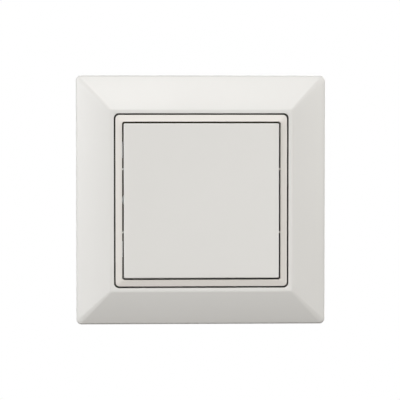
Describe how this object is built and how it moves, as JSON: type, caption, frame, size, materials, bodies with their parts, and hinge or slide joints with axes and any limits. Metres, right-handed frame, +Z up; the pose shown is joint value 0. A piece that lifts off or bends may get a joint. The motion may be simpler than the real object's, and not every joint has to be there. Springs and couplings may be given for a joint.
{
  "type": "wall switch",
  "caption": "Flush wall switch with a square bevelled frame and one large rocker that springs back to the middle, with its insert, steel plate and spreading claws.",
  "frame": {"origin": "centre of the four box-screw slots, on the wall plane, which is the back face of the support plate and of the frame's rim", "axes": "+X to the right, +Z up, the front faces -Y and the insert lies behind the wall plane at +Y"},
  "size_m": [0.08, 0.0326, 0.08],
  "materials": {
    "frame_plastic": "satin moulded white",
    "ring_plastic": "satin moulded warm white",
    "rocker_plastic": "satin moulded white",
    "cradle_plastic": "matt natural white",
    "lid_plastic": "matt grey",
    "housing_plastic": "matt dark grey",
    "release_plastic": "matt orange",
    "plunger_plastic": "matt natural white",
    "plate_steel": "bright zinc plated sheet",
    "screw_steel": "bright zinc plated",
    "claw_steel": "zinc plated",
    "spring_steel": "drawn wire",
    "clamp_steel": "bright spring strip",
    "contact_brass": "rolled sheet",
    "contact_silver": "silver, fine polished"
  },
  "bodies": {
    "insert": {"cover_frame": "frame_plastic", "adapter_ring": "ring_plastic", "support_plate": "plate_steel", "yoke_screws": "screw_steel", "mechanism_lid": "lid_plastic", "insert_housing": "housing_plastic", "upper_return_spring": "spring_steel", "lower_return_spring": "spring_steel", "fixed_contact_tips": "contact_silver", "common_contact": "contact_brass", "upper_contact": "contact_brass", "lower_contact": "contact_brass", "common_clamp_spring": "clamp_steel", "upper_clamp_spring": "clamp_steel", "lower_clamp_spring": "clamp_steel"},
    "rocker": {"rocker_cap": "rocker_plastic", "rocker_cradle": "cradle_plastic", "plunger_spring": "spring_steel"},
    "plunger": {"drive_plunger": "plunger_plastic"},
    "contact_rocker": {"contact_lever": "contact_brass", "contact_pivot_pin": "screw_steel", "moving_contact_tips": "contact_silver"},
    "common_release_button": {"common_release": "release_plastic"},
    "upper_release_button": {"upper_release": "release_plastic"},
    "lower_release_button": {"lower_release": "release_plastic"},
    "left_claw_seat": {"left_claw_washer": "screw_steel"},
    "left_claw_screw": {"left_claw_screw": "screw_steel"},
    "left_claw_jaw": {"left_claw": "claw_steel"},
    "right_claw_seat": {"right_claw_washer": "screw_steel"},
    "right_claw_screw": {"right_claw_screw": "screw_steel"},
    "right_claw_jaw": {"right_claw": "claw_steel"}
  },
  "joints": [
    {"name": "rocker_tilt", "type": "hinge", "parent": "insert", "child": "rocker", "pos_m": [0, -0.005, 0], "axis": [1, 0, 0], "range_deg": [-4, 4], "stiffness_Nm_per_rad": 0.6, "deforming": ["upper_return_spring", "lower_return_spring"]},
    {"name": "plunger_press", "type": "slide", "parent": "rocker", "child": "plunger", "axis": [0, -1, 0], "range_m": [0, 0.0008], "stiffness_N_per_m": 300, "springref_m": -0.001, "deforming": ["plunger_spring"]},
    {"name": "contact_tilt", "type": "hinge", "parent": "insert", "child": "contact_rocker", "pos_m": [0, 0.01, 0], "axis": [1, 0, 0], "range_deg": [-11, 11]},
    {"name": "common_release_press", "type": "slide", "parent": "insert", "child": "common_release_button", "axis": [0, -1, 0], "range_m": [0, 0.0012], "stiffness_N_per_m": 400, "springref_m": -0.0005},
    {"name": "upper_release_press", "type": "slide", "parent": "insert", "child": "upper_release_button", "axis": [0, -1, 0], "range_m": [0, 0.0012], "stiffness_N_per_m": 400, "springref_m": -0.0005},
    {"name": "lower_release_press", "type": "slide", "parent": "insert", "child": "lower_release_button", "axis": [0, -1, 0], "range_m": [0, 0.0012], "stiffness_N_per_m": 400, "springref_m": -0.0005},
    {"name": "left_claw_swing", "type": "hinge", "parent": "insert", "child": "left_claw_seat", "pos_m": [-0.0222, -0.0034, 0], "axis": [0, 0, 1], "range_deg": [0, 10]},
    {"name": "left_claw_screw_turn", "type": "hinge", "parent": "left_claw_seat", "child": "left_claw_screw", "pos_m": [-0.0222, 0, 0], "axis": [0, -1, 0], "continuous": true},
    {"name": "left_claw_climb", "type": "slide", "parent": "left_claw_seat", "child": "left_claw_jaw", "axis": [0, -1, 0], "range_m": [0, 0.006]},
    {"name": "right_claw_swing", "type": "hinge", "parent": "insert", "child": "right_claw_seat", "pos_m": [0.0222, -0.0034, 0], "axis": [0, 0, -1], "range_deg": [0, 10]},
    {"name": "right_claw_screw_turn", "type": "hinge", "parent": "right_claw_seat", "child": "right_claw_screw", "pos_m": [0.0222, 0, 0], "axis": [0, -1, 0], "continuous": true},
    {"name": "right_claw_climb", "type": "slide", "parent": "right_claw_seat", "child": "right_claw_jaw", "axis": [0, -1, 0], "range_m": [0, 0.006]}
  ],
  "couplings": [
    {"joint": "contact_tilt", "follows": "rocker_tilt", "ratio": -2.75},
    {"joint": "left_claw_climb", "follows": "left_claw_swing", "m_per_rad": 0.033805},
    {"joint": "right_claw_climb", "follows": "right_claw_swing", "m_per_rad": 0.033805}
  ]
}
